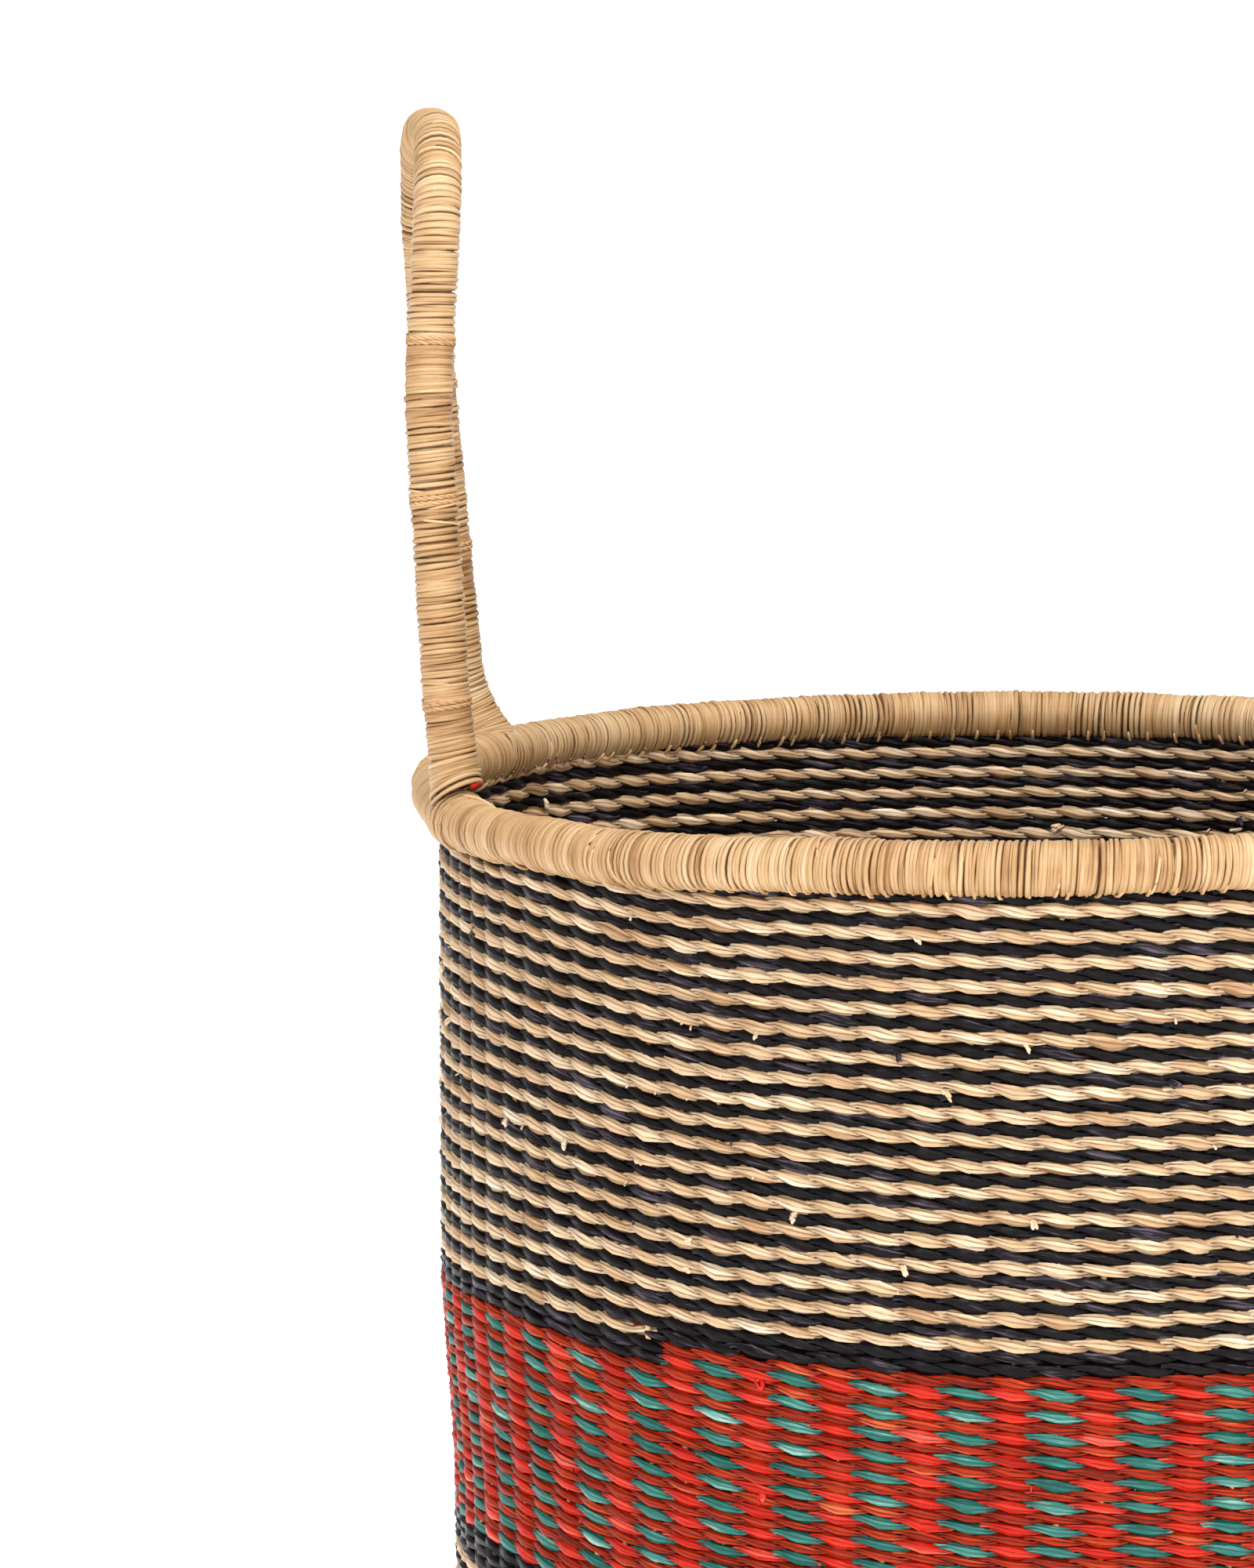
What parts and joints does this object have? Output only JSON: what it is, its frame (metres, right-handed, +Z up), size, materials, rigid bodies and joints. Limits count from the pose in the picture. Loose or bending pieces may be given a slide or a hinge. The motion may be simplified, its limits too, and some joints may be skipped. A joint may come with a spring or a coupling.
{
  "type": "woven market basket",
  "caption": "Tall round twined straw basket with a wrapped rim, upright wrapped loop handles and striped and checked colour bands.",
  "frame": {"origin": "centre of the flat base, on the surface that the basket stands on", "axes": "+Z up through the open mouth; the two handles stand at -X and +X, so X is the line through both handles"},
  "size_m": [0.4708, 0.4504, 0.6478],
  "materials": {
    "natural_straw": "dry split straw, satin",
    "black_straw": "dyed straw, satin with a faint violet sheen",
    "rust_straw": "dyed straw, satin",
    "red_straw": "dyed straw, satin",
    "teal_straw": "dyed straw, satin",
    "wrap_straw": "polished wound straw, glossy",
    "splice_straw": "twisted straw, satin",
    "stake_straw": "straw rod, matt",
    "core_straw": "bundled grass, matt"
  },
  "bodies": {
    "root": {"first_stakes": "stake_straw", "added_stakes": "stake_straw", "starter_straws": "natural_straw", "base_start_weave": "natural_straw", "base_weave": "natural_straw", "base_corner_weave": "black_straw", "lower_striped_weave": "natural_straw", "lower_black_weave": "black_straw", "red_teal_weave": "rust_straw", "upper_black_weave": "black_straw", "upper_striped_weave": "natural_straw", "rim_core": "core_straw", "rim_wrap": "wrap_straw", "rim_stitches": "natural_straw", "left_handle_core": "core_straw", "left_handle_wrap": "wrap_straw", "left_handle_splices": "splice_straw", "left_front_lashing": "wrap_straw", "left_rear_lashing": "wrap_straw", "right_handle_core": "core_straw", "right_handle_wrap": "wrap_straw", "right_handle_splices": "splice_straw", "right_front_lashing": "wrap_straw", "right_rear_lashing": "wrap_straw"}
  },
  "joints": []
}
